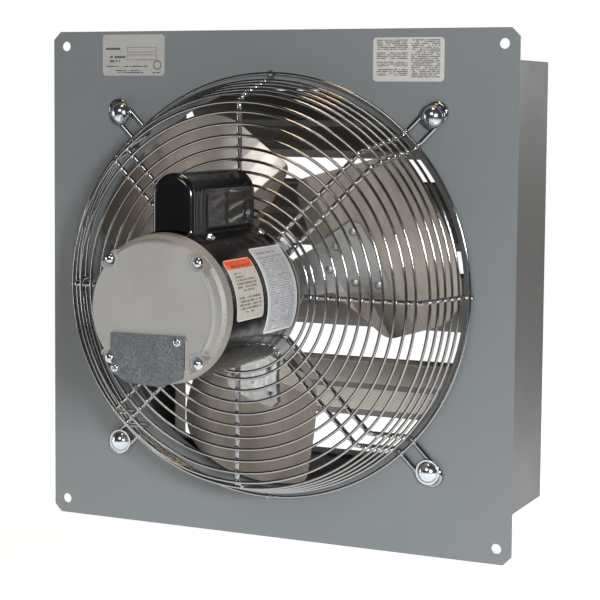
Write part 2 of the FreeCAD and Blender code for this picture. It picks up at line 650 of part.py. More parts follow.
def build_motor():
    save("motor_shell", motor_shell())
    save("motor_front_bell", motor_front_bell())
    save("motor_rear_bell", motor_rear_bell())
    save("stator_core", stator_core())
    save("stator_windings", winding_head(STACK_FRONT_Y - 20, STACK_FRONT_Y),
         winding_head(STACK_REAR_Y, STACK_REAR_Y + 17))
    places = corners_of(THROUGH_BOLT)
    save("through_bolts", *[through_bolt(x, z) for x, z in places])
    nut_y = TAB_FRONT_Y + TAB_T
    save("stud_nuts", *[hex_nut(x, z, nut_y, nut_y + 4.5, 9.5, BOLT_R) for x, z in places])
    save("wiring_cover", wiring_cover())
    cover_y = BELL_FACE_Y - 2.0
    save("wiring_cover_screws", *[dome(3.8, 2.4, vec(x, cover_y, z), FRONT).fuse(
        rod_y(1.8, cover_y, cover_y + 8.0, x, z)) for x, z in cover_screw_places()])
    save("terminal_board", terminal_board())
    save("capacitor_cover", capacitor_cover())
    save("capacitor_cover_screws", *[capacitor_screw(a, y) for a, y in SADDLE_SCREWS])
    can_z = MOTOR_R + CAPACITOR_R
    save("capacitor", rod_y(CAPACITOR_R, CAP_FRONT_Y + 14, CAP_REAR_Y - 14, 0, can_z))
    pad = block(-12, 12, CAP_FRONT_Y + 35, CAP_REAR_Y - 35, can_z + 10, CAP_TOP_Z)
    pad = pad.common(cover_body(CAP_T))
    save("capacitor_pad", pad.cut(rod_y(CAPACITOR_R, CAP_FRONT_Y, CAP_REAR_Y, 0, can_z)))
    save("bearing_outer_races", bearing_outer(FRONT_BEARING_Y), bearing_outer(REAR_BEARING_Y))
    save("bearing_balls", *(bearing_balls(FRONT_BEARING_Y) + bearing_balls(REAR_BEARING_Y)))
    save("bearing_inner_races", bearing_inner(FRONT_BEARING_Y), bearing_inner(REAR_BEARING_Y))
    save("motor_shaft", motor_shaft())
    save("rotor_core", rotor_core())
    save("motor_wiring_label", shell_label(-217.5, -163.5, 40.0, -8.0))
    save("motor_data_label", shell_label(-153.5, -89.5, 47.0, -24.0))


# ---------------------------------------------------------------- propeller
STATIONS = (30.0, 42.0, 55.0, 70.0, 80.0, 90.0, 100.0, 110.0, 124.0, 150.0, 180.0, 206.0)
SECTION_HALF = 112.0


def blade_slope(u):
    """Rise of the blade per millimetre across it, at radius u: flat at the hub, then a helix."""
    ramp = STEEPEST * min(1.0, max(0.0, (u - 30.0) / 40.0))
    return min(ramp, PITCH_PER_TURN / u)


def blade_camber(u):
    return 0.3 + 0.06 * max(0.0, u - 42.0)


def section(u, y_front, thickness):
    """Curved strip across the blade at radius u; s is measured towards the leading edge."""
    rise = blade_slope(u) * SECTION_HALF
    def point(side, drop):
        return vec(u, y_front - side * rise - drop, side * SECTION_HALF)
    a, m, b = point(-1, 0), point(0, blade_camber(u)), point(1, 0)
    shift = vec(0, thickness, 0)
    return Part.Wire([arc(a, m, b), line(b, b + shift), arc(b + shift, m + shift, a + shift),
                      line(a + shift, a)])


def helical_sheet(first, last, y_front, thickness):
    """Ruled sheet through the sections between two radii."""
    wires = [section(u, y_front, thickness) for u in STATIONS if first <= u <= last]
    return Part.makeLoft(wires, True, True)


def blade_outline():
    """Blade outline as seen along the axis, in (radial, tangential) millimetres."""
    def at(u, s):
        return vec(u, -120, s)
    tip_start = at(FAN_R * math.cos(TIP_LEADING), -FAN_R * math.sin(TIP_LEADING))
    tip_end = at(FAN_R * math.cos(TIP_TRAILING), FAN_R * math.sin(TIP_TRAILING))
    edges = [line(at(57, -22), at(80.5, -76)), arc(at(80.5, -76), at(86, -83.5), at(95, -86.5)),
             line(at(95, -86.5), at(148, -87)),
             arc(at(148, -87), at(179, -76), tip_start), arc(tip_start, at(FAN_R, 0), tip_end),
             arc(tip_end, at(182.5, 86.5), at(173, 90)),
             line(at(173, 90), at(90, 92)), arc(at(90, 92), at(80, 88), at(73.5, 80)),
             line(at(73.5, 80), at(57, 22)), line(at(57, 22), at(57, -22))]
    return Part.Face(Part.Wire(edges)).extrude(vec(0, 240, 0))


def spider_arm_outline():
    points = [(30, -20), (58, -24), (112, -39), (120, -33), (123, 0), (120, 33), (112, 39),
              (58, 24), (30, 20)]
    return plate_xz(points, -120, 120)


def rivet_places():
    """Places of one arm's rivets, in (radial, tangential) millimetres."""
    return [(66.0, 0.0), (85.0, -20.0), (85.0, 20.0), (109.0, -29.0), (109.0, 29.0)]


def blade_height(u, s):
    lift = blade_camber(u) * (1 - (s / SECTION_HALF) ** 2)
    return PROP_Y - blade_slope(u) * s - lift


def blade_normal(u, s):
    step = 0.5
    du = (blade_height(u + step, s) - blade_height(u - step, s)) / (2 * step)
    ds = (blade_height(u, s + step) - blade_height(u, s - step)) / (2 * step)
    return vec(du, -1.0, ds).normalize()


def rivet(u, s):
    """Dome-headed rivet through spider and blade, square to the sheet."""
    normal = blade_normal(u, s)
    point = vec(u, blade_height(u, s), s)
    front = point + normal * (SPIDER_T * abs(normal.y) + 0.03)
    back = point - normal * (BLADE_T * abs(normal.y) + 0.03)
    shank = Part.makeCylinder(2.4, (front - back).Length, back, normal)
    tail = Part.makeCylinder(4.0, 1.2, back - normal * 1.2, normal)
    return shank.fuse([dome(4.6, 2.4, front, normal), tail])


def rivet_hole(u, s):
    normal = blade_normal(u, s)
    point = vec(u, blade_height(u, s), s)
    return Part.makeCylinder(2.4, 30, point - normal * 15, normal)


def hub_rivets():
    """Rivets that hold the spider's flat centre to the hub flange."""
    rivets = []
    for angle in BLADE_ANGLES:
        head = dome(4.0, 2.0, vec(24.0, PROP_Y - SPIDER_T, 0), FRONT)
        shank = rod_y(2.4, PROP_Y - SPIDER_T, PROP_Y + 4.0, 24.0)
        tail = rod_y(3.8, PROP_Y + 4.0, PROP_Y + 5.2, 24.0)
        rivets.append(around(head.fuse([shank, tail]), angle + 60))
    return rivets


def hub_rivet_holes():
    return [around(rod_y(2.4, -20, 40, 24.0), angle + 60) for angle in BLADE_ANGLES]


def propeller_spider():
    arm = helical_sheet(30.0, 124.0, PROP_Y - SPIDER_T, SPIDER_T).common(spider_arm_outline())
    arm = arm.cut([rivet_hole(u, s) for u, s in rivet_places()])
    disc = ring_y(34.0, 16.0, PROP_Y - SPIDER_T, PROP_Y)
    arms = [around(arm, angle) for angle in BLADE_ANGLES]
    return disc.fuse(arms).cut(hub_rivet_holes())


def propeller_hub():
    barrel = rod_y(16.0, -16.0, PROP_Y + 14.0)
    flange = rod_y(31.0, PROP_Y, PROP_Y + 4.0)
    bore = turned([(0, -20), (SHAFT_R, -20), (SHAFT_R, 40), (0, 40)])
    hub = barrel.fuse(flange).cut(bore).cut(hub_rivet_holes())
    return hub.cut(Part.makeCylinder(3.0, 20, vec(0, -8, SHAFT_R - 2), vec(0, 0, 1)))


def hub_set_screw():
    base = SHAFT_R - 0.8
    screw = Part.makeCylinder(3.0, 10.0, vec(0, -8, base), vec(0, 0, 1))
    socket = Part.makeCylinder(1.5, 3.0, vec(0, -8, base + 7.5), vec(0, 0, 1))
    return screw.cut(socket)


def build_propeller():
    sheet = helical_sheet(55.0, 206.0, PROP_Y, BLADE_T).common(blade_outline())
    sheet = sheet.cut([rivet_hole(u, s) for u, s in rivet_places()])
    rivets = hub_rivets()
    for number, angle in enumerate(BLADE_ANGLES, start=1):
        save("propeller_blade_%d" % number, around(sheet, angle))
        rivets += [around(rivet(u, s), angle) for u, s in rivet_places()]
    save("propeller_spider", propeller_spider())
    save("propeller_rivets", *rivets)
    save("propeller_hub", propeller_hub())
    save("hub_set_screw", hub_set_screw())


# ---------------------------------------------------------------- panel labels
def build_labels():
    front = -PANEL_T
    save("panel_rating_label", block(-202.0, -126.5, front - LABEL_T, front, 216.5, 260.0))
    save("panel_notice_label", block(111.0, 186.5, front - LABEL_T, front, 211.0, 254.5))


build_housing()
build_shutter()
build_guard()
build_motor()
build_propeller()
build_labels()
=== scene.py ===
import math

import bmesh
import bpy
from mathutils import Matrix, Vector


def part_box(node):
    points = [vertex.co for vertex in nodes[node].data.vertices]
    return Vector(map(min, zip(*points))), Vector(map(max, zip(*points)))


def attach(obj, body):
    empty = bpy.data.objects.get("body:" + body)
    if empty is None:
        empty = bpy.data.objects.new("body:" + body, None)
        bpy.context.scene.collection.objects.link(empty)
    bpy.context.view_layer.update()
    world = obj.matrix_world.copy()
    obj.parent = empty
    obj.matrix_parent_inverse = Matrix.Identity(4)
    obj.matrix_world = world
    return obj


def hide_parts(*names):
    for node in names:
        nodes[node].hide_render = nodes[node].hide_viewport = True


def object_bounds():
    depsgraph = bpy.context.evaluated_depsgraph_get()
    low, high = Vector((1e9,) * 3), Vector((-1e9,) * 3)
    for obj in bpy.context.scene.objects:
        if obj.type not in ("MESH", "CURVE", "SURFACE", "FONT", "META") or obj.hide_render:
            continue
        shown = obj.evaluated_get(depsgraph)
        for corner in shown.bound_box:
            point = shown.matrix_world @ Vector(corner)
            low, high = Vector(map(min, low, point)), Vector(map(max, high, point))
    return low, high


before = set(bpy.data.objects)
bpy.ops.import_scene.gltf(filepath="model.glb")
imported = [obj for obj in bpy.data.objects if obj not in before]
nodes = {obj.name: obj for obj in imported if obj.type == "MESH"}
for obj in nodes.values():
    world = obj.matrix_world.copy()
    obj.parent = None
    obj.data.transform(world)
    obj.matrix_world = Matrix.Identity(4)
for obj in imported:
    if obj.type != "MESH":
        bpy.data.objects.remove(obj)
cad_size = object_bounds()

# ---------------------------------------------------------------- sizes, in metres and degrees
SHELL_R = 0.070                                  # outside of the motor shell
LABEL_T = 0.0003
LABEL_CORNER = 0.004
WIRING_LABEL = (-0.2175, -0.1635, 40.0, -8.0)    # y of its front and rear, angle of its top and bottom
DATA_LABEL = (-0.1535, -0.0895, 47.0, -24.0)

WIRING_COVER_Y = -0.2525                         # front face of the wiring cover
WIRING_SCREW = (0.0040, 0.0023)                  # radius and height of a head
WIRING_SCREWS = ((0.0275, -0.0265, 0.5), (-0.0375, -0.0540, 1.2))    # x, z, and turn in radians
SADDLE_FACE_R = 0.0711
SADDLE_SCREW = (0.0048, 0.0028)
SADDLE_SCREWS = ((65.6, -0.1939, 0.3), (63.0, -0.0936, 0.9),         # angle, y, and turn in radians
                 (114.4, -0.1939, 1.1), (117.0, -0.0936, 0.1))

LOUVRE_OPEN = (38.0, 35.0, 40.0, 36.0)           # how far each louvre stands open at rest
LOUVRE_PAINTED_SHADE = (0.20, 0.28, 0.48, 1.0)            # painted shade: the louvres near the top of the box are painted darkest
LOUVRE_CREASE = (0.0400, 0.0525)                 # painted shade bands in the crease and on the hem, by their distance from the pivot
LOUVRE_HEM = (0.0870, 0.1050)

# ---------------------------------------------------------------- sizes, in millimetres
FACE_RINGS_Y = -80.35                            # guard rings, to the middle of their wire
FACE_RING_RADII = [78.7] + [85.5 + 11.85 * k for k in range(9)]
CORNER_RING = (190.0, -79.66)                    # radius and y
FOOT_RING = (219.0, -7.85)
SIDE_TOP = (191.5, -76.5)                        # radius and y of each end of the sloping side wires
SIDE_FOOT = (212.2, -4.0)
SIDE_RING_HEIGHTS = (-64.0, -51.4, -40.0, -29.0, -18.4)
SIDE_RING_GAP = 3.85                             # between the middles of a side wire and its ring
SIDE_RING_SETBACK = 1.05                         # a side ring's middle lies this far before its height
HAIRPIN_HALF_GAP = 9.25                          # half the space between the wires of an arm
FLAT_WELD = (0.0, 1.45)                          # from a ring to its weld: inwards, and backwards
SIDE_WELD = (1.45, 0.4)
BEAD_R = 2.5                                     # weld bead, and how it is flattened
BEAD_STRETCH = (1.4, 0.95, 1.05)

COVER_HALF = 22.0                                # capacitor cover: half its width, radius of its arch
COVER_SPRING_Z = 102.0                           # where the arch starts
COVER_FOOT_Z = 64.0
COVER_FRONT_Y = -213.5
COVER_REAR_Y = -83.0
COVER_ROUNDING = 6.0                             # of the front and rear edges
FOOT_FLARE = 1.6
FLARE_R = (70.6, 73.4)                           # from the motor's axis: full flare, and no flare
PANEL_Y = (-189.5, -186.0, -91.5, -88.0)         # pressed panel: start, full depth from and to, end
PANEL_Z = (69.4, 71.8, 102.5, 108.0)
PANEL_DEPTH = 2.2
GROOVES_Y = (-203.6, -195.0)                     # upright grooves near the front
GROOVE_Z = (69.0, 73.0, 104.0, 112.0)
GROOVE_DEPTH = 0.45
GROOVE_WIDTH = 1.3
CREASES_Y = (-183.0, -141.7, -103.5)             # upright creases inside the panel
CREASE_DEPTH = 1.1
CREASE_WIDTH = 1.5
BULGES_Z = (76.5, 87.0, 97.5)                    # ridges at the rear of the panel
BULGE_HEIGHT = 0.75
BULGE_WIDTH = 3.2
BULGE_LEAN = 0.12
BULGE_LEAN_FROM_Y = -95.0
BULGE_START_Y = (-112.0, -97.0)
SADDLE_EDGE = 59.6                               # degrees above the horizontal, on both sides
SADDLE_CORNER = 5.0
SADDLE_RADII = (70.02, 71.2)                     # inside and outside


# ---------------------------------------------------------------- shader building
class Surface:
    """One material, with short calls for the few shader nodes that the looks need."""

    def __init__(self, name):
        self.material = bpy.data.materials.new(name)
        self.material.use_nodes = True
        self.tree = self.material.node_tree
        self.shader = self.tree.nodes["Principled BSDF"]
        self.place = self.node("ShaderNodeTexCoord").outputs["Object"]
        parts = self.node("ShaderNodeSeparateXYZ")
        self.feed(parts.inputs[0], self.place)
        self.x, self.y, self.z = parts.outputs

    def node(self, kind, **settings):
        made = self.tree.nodes.new(kind)
        for name, value in settings.items():
            setattr(made, name, value)
        return made

    def feed(self, socket, value):
        """Links a socket to another node's output, or gives it a constant."""
        if isinstance(value, bpy.types.NodeSocket):
            self.tree.links.new(value, socket)
        else:
            socket.default_value = value

    def set(self, **values):
        """Sets the shader's sockets: base_color=..., roughness=..."""
        for name, value in values.items():
            socket = self.shader.inputs[name.replace("_", " ").title().replace("Ior", "IOR")]
            if isinstance(value, tuple) and len(value) == 3 and socket.type == "RGBA":
                value = (*value, 1.0)
            self.feed(socket, value)
        return self

    def math(self, operation, a, b=0.0):
        made = self.node("ShaderNodeMath", operation=operation)
        self.feed(made.inputs[0], a)
        self.feed(made.inputs[1], b)
        return made.outputs[0]

    def length(self, a, b):
        """Length of the flat vector (a, b)."""
        squares = self.math("ADD", self.math("MULTIPLY", a, a), self.math("MULTIPLY", b, b))
        return self.math("SQRT", squares)

    def remap(self, value, low, high, to_low=0.0, to_high=1.0):
        made = self.node("ShaderNodeMapRange")
        for socket, number in zip(made.inputs, (value, low, high, to_low, to_high)):
            self.feed(socket, number)
        return made.outputs[0]

    def spread(self, noise, low, high):
        """Noise, which lies mostly between 0.3 and 0.7, spread out from low to high."""
        return self.remap(noise, 0.3, 0.7, low, high)

    def mix(self, factor, a, b):
        made = self.node("ShaderNodeMix", data_type="RGBA")
        for socket, value in zip((made.inputs[0], made.inputs[6], made.inputs[7]), (factor, a, b)):
            self.feed(socket, (*value, 1.0) if isinstance(value, tuple) else value)
        return made.outputs[2]

    def stretched(self, stretch):
        made = self.node("ShaderNodeMapping")
        self.feed(made.inputs["Vector"], self.place)
        made.inputs["Scale"].default_value = stretch
        return made.outputs[0]

    def noise(self, scale, detail=2.0, stretch=None):
        made = self.node("ShaderNodeTexNoise")
        self.feed(made.inputs["Vector"], self.stretched(stretch) if stretch else self.place)
        made.inputs["Scale"].default_value = scale
        made.inputs["Detail"].default_value = detail
        return made.outputs[0]

    def cells(self, scale):
        """A random grey per crystal-like cell."""
        made = self.node("ShaderNodeTexVoronoi")
        self.feed(made.inputs["Vector"], self.place)
        made.inputs["Scale"].default_value = scale
        grey = self.node("ShaderNodeSeparateColor")
        self.feed(grey.inputs[0], made.outputs["Color"])
        return grey.outputs[0]

    def random_at(self, a, b):
        """A random number that is the same all over each whole-numbered pair (a, b)."""
        pair = self.node("ShaderNodeCombineXYZ")
        self.feed(pair.inputs[0], a)
        self.feed(pair.inputs[1], b)
        made = self.node("ShaderNodeTexWhiteNoise", noise_dimensions="2D")
        self.feed(made.inputs["Vector"], pair.outputs[0])
        return made.outputs["Value"]

    def soft_edges(self, radius):
        made = self.node("ShaderNodeBevel", samples=4)
        made.inputs["Radius"].default_value = radius
        return made.outputs[0]

    def bump(self, height, strength, distance, under=None):
        made = self.node("ShaderNodeBump")
        made.inputs["Strength"].default_value = strength
        made.inputs["Distance"].default_value = distance
        self.feed(made.inputs["Height"], height)
        if under is not None:
            self.feed(made.inputs["Normal"], under)
        return made.outputs[0]

    def step(self, value, size):
        """Which step of this size the value lies on."""
        return self.math("FLOOR", self.math("DIVIDE", value, size))

    def between(self, value, low, high):
        """1 where value lies between low and high."""
        above = self.math("GREATER_THAN", value, low)
        below = self.math("LESS_THAN", value, high)
        return self.math("MULTIPLY", above, below)

    def join(self, masks):
        """1 where any of the masks is 1."""
        total = masks[0]
        for mask in masks[1:]:
            total = self.math("MAXIMUM", total, mask)
        return total


def shade(colour, factor):
    return tuple(min(1.0, c * factor) for c in colour)


# ---------------------------------------------------------------- metals and paints
def sheet_paint(name, colour, roughness):
    """Satin enamel on flat sheet: slow drift in tone, fine specks and a fine orange peel."""
    s = Surface(name)
    drift = s.remap(s.noise(2.6, 3.0), 0.35, 0.65)
    speck = s.noise(650.0, 2.0)
    tone = s.mix(drift, shade(colour, 0.93), shade(colour, 1.03))
    tone = s.mix(s.remap(speck, 0.35, 0.65, 0.0, 0.5), tone, shade(colour, 1.10))
    return s.set(base_color=tone, specular_ior_level=0.45,
                 roughness=s.spread(s.noise(14.0, 4.0), roughness - 0.05, roughness + 0.05),
                 normal=s.bump(speck, 0.10, 0.0004, s.soft_edges(0.0005))).material


def black_enamel():
    """Gloss black with a slight waviness."""
    s = Surface("motor_black")
    tone = s.mix(s.noise(30.0, 4.0), (0.004, 0.004, 0.005), (0.008, 0.008, 0.009))
    return s.set(base_color=tone, specular_ior_level=0.85,
                 roughness=s.spread(s.noise(50.0, 3.0), 0.13, 0.19),
                 normal=s.bump(s.noise(260.0, 1.0), 0.05, 0.0003, s.soft_edges(0.0006))).material


def chrome():
    """Bright plated wire, very slightly uneven as drawn wire is."""
    s = Surface("guard_chrome")
    tone = s.mix(s.noise(24.0, 3.0), (0.36, 0.36, 0.37), (0.47, 0.465, 0.455))
    return s.set(base_color=tone, metallic=1.0, roughness=s.spread(s.noise(60.0, 2.0), 0.08, 0.14),
                 normal=s.bump(s.noise(40.0, 1.0), 0.10, 0.0006)).material


def cast_aluminium():
    """Blasted casting: grey face with soft blotches, browner round the rim."""
    s = Surface("cast_bell")
    blotch = s.remap(s.noise(22.0, 3.0), 0.35, 0.7)
    face = s.mix(blotch, (0.335, 0.335, 0.328), (0.385, 0.385, 0.378))
    rim = s.mix(s.remap(s.length(s.x, s.z), 0.0640, 0.0665), face, (0.285, 0.258, 0.228))
    grain = s.noise(1050.0, 3.0)
    tone = s.mix(s.remap(grain, 0.40, 0.66, 0.0, 0.62), rim, (0.50, 0.495, 0.48))
    return s.set(base_color=tone, metallic=0.35, roughness=s.spread(grain, 0.50, 0.66),
                 normal=s.bump(grain, 0.45, 0.0004, s.soft_edges(0.0008))).material


def galvanised():
    """Zinc spangle: small crystals that differ in tone and gloss."""
    s = Surface("galvanised")
    crystal = s.cells(800.0)
    cloud = s.noise(60.0, 3.0, (1.0, 1.0, 0.5))
    tone = s.mix(crystal, (0.120, 0.137, 0.146), (0.262, 0.288, 0.300))
    tone = s.mix(s.remap(cloud, 0.35, 0.7, 0.0, 0.5), tone, (0.130, 0.150, 0.160))
    return s.set(base_color=tone, metallic=0.55, roughness=s.remap(crystal, 0.0, 1.0, 0.42, 0.58),
                 normal=s.bump(crystal, 0.05, 0.0002, s.soft_edges(0.0004))).material


def metal(name, light, dark, roughness, grain_scale, stretch=None, relief=0.05):
    """Plain metal with a grain, stretched where it was rolled or turned."""
    s = Surface(name)
    grain = s.noise(grain_scale, 4.0, stretch)
    tone = s.mix(s.remap(s.noise(18.0, 3.0), 0.3, 0.7), dark, light)
    unevenness = roughness * 0.25
    return s.set(base_color=tone, metallic=1.0,
                 roughness=s.spread(grain, roughness - unevenness, roughness + unevenness),
                 normal=s.bump(grain, relief, 0.0003, s.soft_edges(0.0004))).material


def rolled_sheet(name, tone_factor):
    """Mill-finish blade sheet: faint rolling lines, soft cloudy stains and a low shine."""
    s = Surface(name)
    dark = shade((0.28, 0.247, 0.215), tone_factor)
    light = shade((0.42, 0.382, 0.342), tone_factor)
    stain = shade((0.17, 0.145, 0.120), tone_factor)
    cloud = s.remap(s.noise(7.0, 2.0), 0.3, 0.7)
    streak = s.remap(s.noise(16.0, 3.0, (1.0, 1.0, 0.35)), 0.42, 0.68, 0.0, 0.55)
    lines = s.remap(s.noise(160.0, 2.0, (1.0, 1.0, 0.03)), 0.35, 0.65, 0.0, 0.22)
    tone = s.mix(streak, s.mix(cloud, dark, light), stain)
    tone = s.mix(lines, tone, (0.20, 0.172, 0.145))
    return s.set(base_color=tone, metallic=0.85, roughness=s.remap(cloud, 0.0, 1.0, 0.34, 0.42)).material


def louvre_sheet(k):
    """Bare louvre sheet with painted shade: darker near the top of the box, and dark bands painted in its
    crease and on its hem.
    """
    s = Surface(f"louvre_aluminium_{k}")
    low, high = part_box(f"shutter_rod_{k}")
    turn = math.radians(LOUVRE_OPEN[k - 1])
    back = s.math("MULTIPLY", s.math("SUBTRACT", s.y, (low.y + high.y) / 2), math.sin(turn))
    down = s.math("MULTIPLY", s.math("SUBTRACT", (low.z + high.z) / 2, s.z), math.cos(turn))
    from_pivot = s.math("ADD", back, down)
    # painted shade: each louvre's tone is scaled down by how shaded it is, most near the top of the box
    light = shade((0.58, 0.53, 0.47), LOUVRE_PAINTED_SHADE[k - 1])
    smear = s.remap(s.noise(18.0, 3.0, (0.4, 1.0, 1.0)), 0.3, 0.7)
    tone = s.mix(smear, light, shade(light, 0.86))
    # painted shade: the crease and hem face downwards, away from the light, so they are painted nearly black
    painted_shade_bands = s.join([s.between(from_pivot, *LOUVRE_CREASE), s.between(from_pivot, *LOUVRE_HEM)])
    tone = s.mix(s.math("MULTIPLY", painted_shade_bands, 0.88), tone, (0.035, 0.031, 0.028))
    grain = s.noise(260.0, 3.0, (0.05, 1.0, 1.0))
    return s.set(base_color=tone, metallic=0.6, roughness=s.spread(grain, 0.32, 0.42),
                 normal=s.bump(grain, 0.04, 0.0003, s.soft_edges(0.0004))).material


def laminations():
    """Edges of thin punched sheets stacked along the axis."""
    s = Surface("electrical_steel")
    sheet_pitch = 0.00065
    stripe = s.math("SINE", s.math("MULTIPLY", s.y, 2 * math.pi / sheet_pitch))
    tone = s.mix(s.remap(stripe, -0.5, 0.9), (0.06, 0.06, 0.065), (0.27, 0.27, 0.28))
    return s.set(base_color=tone, metallic=0.8, roughness=0.45, normal=s.bump(stripe, 0.4, 0.0002)).material


def enamelled_copper():
    """Varnished turns, laid round the ring."""
    s = Surface("copper")
    wire_pitch = 0.0011
    outwards = s.math("ADD", s.length(s.x, s.z), s.y)
    turns = s.math("SINE", s.math("MULTIPLY", outwards, 2 * math.pi / wire_pitch))
    tone = s.mix(s.remap(turns, -0.6, 0.8), (0.16, 0.035, 0.012), (0.62, 0.22, 0.075))
    return s.set(base_color=tone, metallic=0.7, roughness=0.32, normal=s.bump(turns, 0.6, 0.0004)).material


def moulded(name, light, dark, roughness, scale):
    """Moulded or foamed plastic with a fine texture."""
    s = Surface(name)
    grain = s.noise(scale, 4.0)
    tone = s.mix(s.remap(grain, 0.35, 0.65), dark, light)
    return s.set(base_color=tone, roughness=s.spread(grain, roughness - 0.06, roughness + 0.06),
                 normal=s.bump(grain, 0.2, 0.0003, s.soft_edges(0.0004))).material


# ---------------------------------------------------------------- printed labels
class Print:
    """Marks on a label. Their places are fractions of its width and height, from its top left corner."""

    BLANK_MARKS = 0.18       # share of the marks that is left out
    BLANK_WORDS = 0.07
    WORD = 5.0               # marks in a word
    MARK_HEIGHT = (0.18, 0.74)

    def __init__(self, surface, across, below, width, height):
        self.surface = surface
        self.across = across
        self.below = below
        self.width = width
        self.height = height

    def block(self, left, right, top, bottom):
        """1 inside a box."""
        s = self.surface
        return s.math("MULTIPLY", s.between(self.across, left * self.width, right * self.width),
                      s.between(self.below, top * self.height, bottom * self.height))

    def rows(self, pitch, letter, *box):
        """1 on rows of small unreadable marks in a box; letter is a mark's width in metres."""
        s = self.surface
        spacing = pitch * self.height
        row = s.step(self.below, spacing)
        height = s.math("FRACT", s.math("DIVIDE", self.below, spacing))
        marks = s.math("GREATER_THAN", s.random_at(s.step(self.across, letter), row), self.BLANK_MARKS)
        word = s.step(self.across, letter * self.WORD)
        words = s.math("GREATER_THAN", s.random_at(word, row), self.BLANK_WORDS)
        rows = s.math("MULTIPLY", s.between(height, *self.MARK_HEIGHT), s.math("MULTIPLY", marks, words))
        return s.math("MULTIPLY", rows, self.block(*box))

    def outline(self, line, left, right, top, bottom):
        """1 on the outline of a box, with lines this wide in metres."""
        x = line / self.width
        y = line / self.height
        hole = self.block(left + x, right - x, top + y, bottom - y)
        return self.surface.math("SUBTRACT", self.block(left, right, top, bottom), hole)

    def border(self, width):
        """1 within this many metres of the label's edge."""
        x = width / self.width
        y = width / self.height
        return self.surface.math("SUBTRACT", 1.0, self.block(x, 1.0 - x, y, 1.0 - y))

    def ring(self, centre_x, centre_y, inner, outer):
        """1 on a ring, with its radii in metres."""
        s = self.surface
        right = s.math("SUBTRACT", self.across, centre_x * self.width)
        down = s.math("SUBTRACT", self.below, centre_y * self.height)
        return s.between(s.length(right, down), inner, outer)

    def ink(self, marks, strength, tone, colour):
        """Tone with the marks laid over it in a colour; a strength of 1 covers it."""
        s = self.surface
        return s.mix(s.math("MULTIPLY", marks, strength), tone, colour)


def draw_rating(label, tone, ink):
    """Two empty boxes with short captions, some small rows and a plain ring."""
    marks = [label.rows(0.10, 0.0018, 0.05, right, top, top + 0.10)
             for right, top in ((0.33, 0.30), (0.37, 0.50), (0.28, 0.60))]
    marks += [label.outline(0.0005, 0.395, 0.875, top, top + 0.13) for top in (0.305, 0.49)]
    marks += [label.rows(0.05, 0.0010, left, right, top, top + 0.05)
              for left, right, top in ((0.05, 0.73, 0.75), (0.21, 0.60, 0.85), (0.23, 0.70, 0.90))]
    marks.append(label.ring(0.885, 0.74, 0.0038, 0.0050))
    marks.append(label.rows(0.05, 0.0014, 0.81, 0.95, 0.90, 0.95))
    return label.ink(label.surface.join(marks), 0.80, tone, ink)


def draw_notice(label, tone, ink):
    """Two columns of small rows; gaps break the left one into paragraphs."""
    s = label.surface
    columns = [label.rows(1 / 24, 0.0009, 0.05, 0.49, 0.04, 0.87),
               label.rows(1 / 24, 0.0009, 0.54, 0.94, 0.04, 0.91)]
    gaps = [label.block(0.0, 0.5, top, top + 0.04) for top in (0.29, 0.50, 0.67)]
    marks = s.math("MAXIMUM", s.math("SUBTRACT", s.join(columns), s.join(gaps)), 0.0)
    return label.ink(marks, 0.80, tone, ink)


def draw_wiring(label, tone, ink):
    """An orange band across the top, rows of small print under it, and a pale edge."""
    band_bottom = 0.17
    beyond = 1.0
    band = label.block(-beyond, 1.0 + beyond, -beyond, band_bottom)
    tone = label.surface.mix(band, tone, (0.88, 0.095, 0.008))
    tone = label.ink(label.border(0.001), 0.80, tone, (0.78, 0.76, 0.72))
    marks = [label.rows(0.056, 0.0011, *box)
             for box in ((0.16, 0.45, 0.224, 0.336), (0.13, 0.86, 0.336, 0.504), (0.30, 0.72, 0.504, 0.560),
                         (0.10, 0.92, 0.616, 0.840), (0.30, 0.62, 0.840, 0.896))]
    marks.append(label.rows(0.085, 0.0016, 0.18, 0.86, 0.085, band_bottom))
    return label.ink(label.surface.join(marks), 0.68, tone, ink)


def draw_data(label, tone, ink):
    """Fine rows all over, with thin rules between the blocks and a pale edge."""
    tone = label.surface.mix(label.border(0.0016), tone, (0.80, 0.81, 0.83))
    marks = [label.rows(1 / 38, 0.0010, 0.10, 0.90, 0.12, 0.97),
             label.rows(1 / 18, 0.0022, 0.12, 0.75, 0.04, 0.11)]
    marks += [label.block(0.06, 0.94, top, top + 0.006) for top in (0.13, 0.36, 0.56, 0.86)]
    return label.ink(label.surface.join(marks), 0.48, tone, ink)


def printed(label, paper, ink, draw, roughness):
    """Finish of a label: slightly uneven paper or foil with marks on it."""
    s = label.surface
    tone = s.mix(s.remap(s.noise(300.0, 3.0), 0.35, 0.65), shade(paper, 0.95), shade(paper, 1.04))
    return s.set(base_color=draw(label, tone, ink),
                 roughness=s.spread(s.noise(70.0, 3.0), roughness, roughness + 0.12),
                 normal=s.bump(s.noise(90.0, 2.0), 0.10, 0.0003)).material


def flat_print(name, node, paper, draw, roughness):
    """Print for a label that lies flat on the panel."""
    s = Surface(name)
    low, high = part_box(node)
    across = s.math("SUBTRACT", s.x, low.x)
    below = s.math("SUBTRACT", high.z, s.z)
    label = Print(s, across, below, high.x - low.x, high.z - low.z)
    return printed(label, paper, (0.03, 0.03, 0.03), draw, roughness)


def shell_print(name, place, paper, draw, roughness):
    """Print for a label that is bent round the motor shell."""
    s = Surface(name)
    front, rear, top, bottom = place
    across = s.math("SUBTRACT", s.y, front)
    angle = s.math("ARCTAN2", s.z, s.x)
    below = s.math("MULTIPLY", s.math("SUBTRACT", math.radians(top), angle), SHELL_R)
    label = Print(s, across, below, rear - front, math.radians(top - bottom) * SHELL_R)
    return printed(label, paper, (0.05, 0.05, 0.05), draw, roughness)


